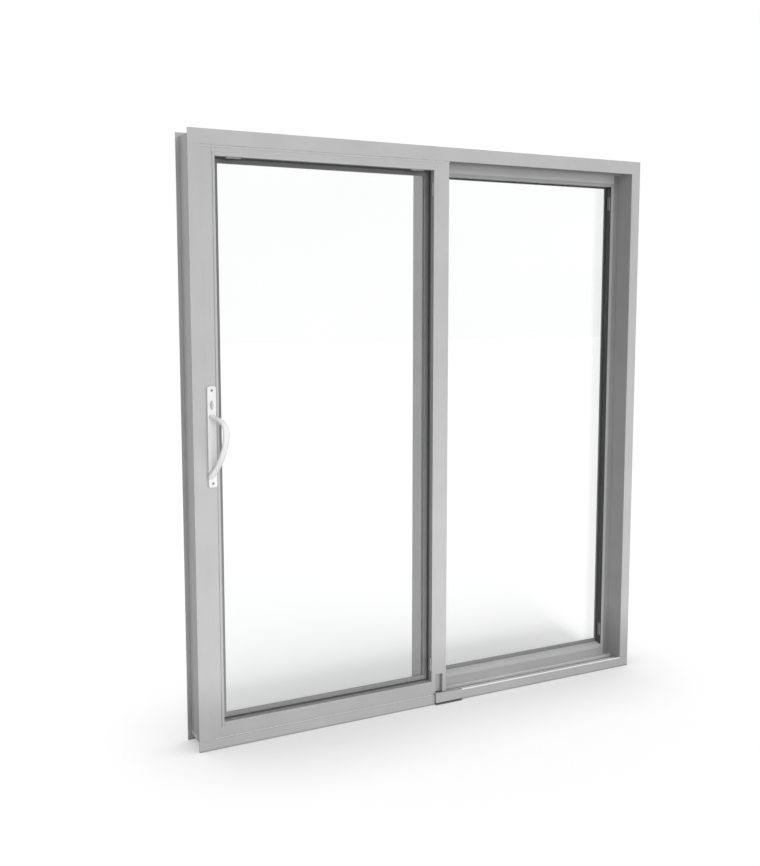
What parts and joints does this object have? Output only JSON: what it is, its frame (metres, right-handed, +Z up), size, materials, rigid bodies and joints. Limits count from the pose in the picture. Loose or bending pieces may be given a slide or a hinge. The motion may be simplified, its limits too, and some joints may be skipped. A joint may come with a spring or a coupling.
{
  "type": "sliding glass door",
  "caption": "Grey aluminium-framed glass slider: a wide left panel with a white pull handle rolls along the sill in front of a fixed right panel.",
  "frame": {"origin": "bottom centre of the frame's front face, on the floor", "axes": "+X right as seen from the room, +Y from the room to the outside, +Z up"},
  "size_m": [1.829, 0.1851, 2.032],
  "materials": {
    "frame": "satin",
    "track": "satin",
    "keeper": "brushed",
    "clip": "matte",
    "gasket": "matte",
    "spacer": "matte",
    "glass": "clear",
    "roller": "matte",
    "handle": "gloss"
  },
  "bodies": {
    "frame": {"head_front_flange": "frame", "head_rear_flange": "frame", "head_web": "frame", "head_box": "frame", "sill_front_flange": "frame", "sill_rear_flange": "frame", "sill_web": "frame", "sill_step": "frame", "roller_track": "track", "left_jamb_front_flange": "frame", "left_jamb_rear_flange": "frame", "left_jamb_web": "frame", "left_jamb_box": "frame", "right_jamb_front_flange": "frame", "right_jamb_rear_flange": "frame", "right_jamb_cover": "frame", "right_jamb_box": "frame", "sill_drain_cover": "frame", "lock_keeper": "keeper", "fixed_interlock_stile": "frame", "fixed_jamb_stile": "frame", "fixed_bottom_rail": "frame", "fixed_top_rail": "frame", "fixed_beads": "frame", "fixed_glazing_clips": "clip", "fixed_gasket": "gasket", "fixed_spacer": "spacer", "fixed_glass": "glass"},
    "sliding_panel": {"lock_stile": "frame", "interlock_stile": "frame", "sliding_bottom_rail": "frame", "sliding_top_rail": "frame", "sliding_beads": "frame", "sliding_glazing_clips": "clip", "sliding_gasket": "gasket", "sliding_spacer": "spacer", "sliding_glass": "glass", "left_roller": "roller", "right_roller": "roller", "interlock_seal": "gasket", "handle_plate": "handle", "handle_grip": "handle", "outer_handle_plate": "handle", "outer_handle_grip": "handle"},
    "latch": {"thumb_turn": "handle"}
  },
  "joints": [
    {"name": "panel_slide", "type": "slide", "parent": "frame", "child": "sliding_panel", "axis": [1, 0, 0], "range_m": [0, 0.75]},
    {"name": "latch_turn", "type": "hinge", "parent": "sliding_panel", "child": "latch", "pos_m": [-0.8495, 0.0025, 1.1595], "axis": [0, 1, 0], "range_deg": [0, 90]}
  ]
}
